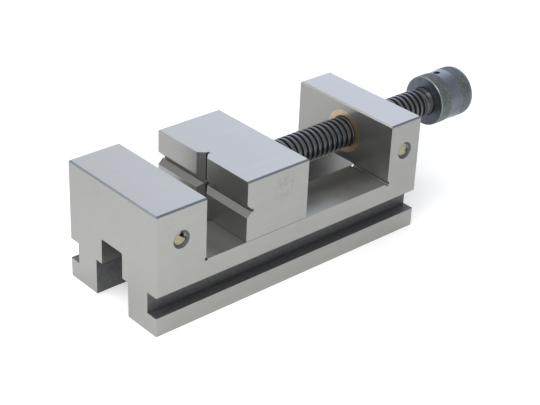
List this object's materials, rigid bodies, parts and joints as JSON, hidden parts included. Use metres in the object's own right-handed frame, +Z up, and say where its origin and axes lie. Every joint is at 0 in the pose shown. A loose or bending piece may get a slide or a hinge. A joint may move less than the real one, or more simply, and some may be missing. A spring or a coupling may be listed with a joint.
{
  "type": "precision grinding vise",
  "caption": "Ground steel toolmaker's vise with a fixed jaw, a veed sliding jaw and a screw with a round knob turning in a bronze nut.",
  "frame": {"origin": "on the base, in the middle of the whole vise's length at rest and of the jaws' width", "axes": "+X from the fixed jaw along the screw to the knob, +Y across the jaws, +Z up"},
  "size_m": [0.344, 0.1, 0.0935],
  "materials": {
    "ground_steel": "hardened alloy tool steel, surface ground",
    "plain_steel": "ground flat steel, oiled",
    "bronze": "turned bronze, slightly dulled",
    "blackened_steel": "turned steel, black oxide",
    "fastener_steel": "black alloy steel fasteners",
    "hardened_steel": "hardened and ground steel"
  },
  "bodies": {
    "base": {"vise_body": "ground_steel", "screw_nut": "bronze", "nut_lock_screw": "fastener_steel"},
    "slider": {"moving_jaw": "ground_steel", "guide_plate": "plain_steel", "thrust_pad": "hardened_steel", "nose_fork": "hardened_steel", "plate_screw_1": "fastener_steel", "plate_screw_2": "fastener_steel"},
    "spindle": {"lead_screw": "blackened_steel", "screw_knob": "blackened_steel", "knob_pin": "hardened_steel"}
  },
  "joints": [
    {"name": "jaw_slide", "type": "slide", "parent": "base", "child": "slider", "axis": [1, 0, 0], "range_m": [-0.0356, 0.0819]},
    {"name": "screw_turn", "type": "hinge", "parent": "slider", "child": "spindle", "pos_m": [0, 0, 0.0703], "axis": [1, 0, 0], "range_deg": [-2564, 5897]}
  ],
  "couplings": [
    {"joint": "screw_turn", "follows": "jaw_slide", "rad_per_m": 1256.6}
  ]
}
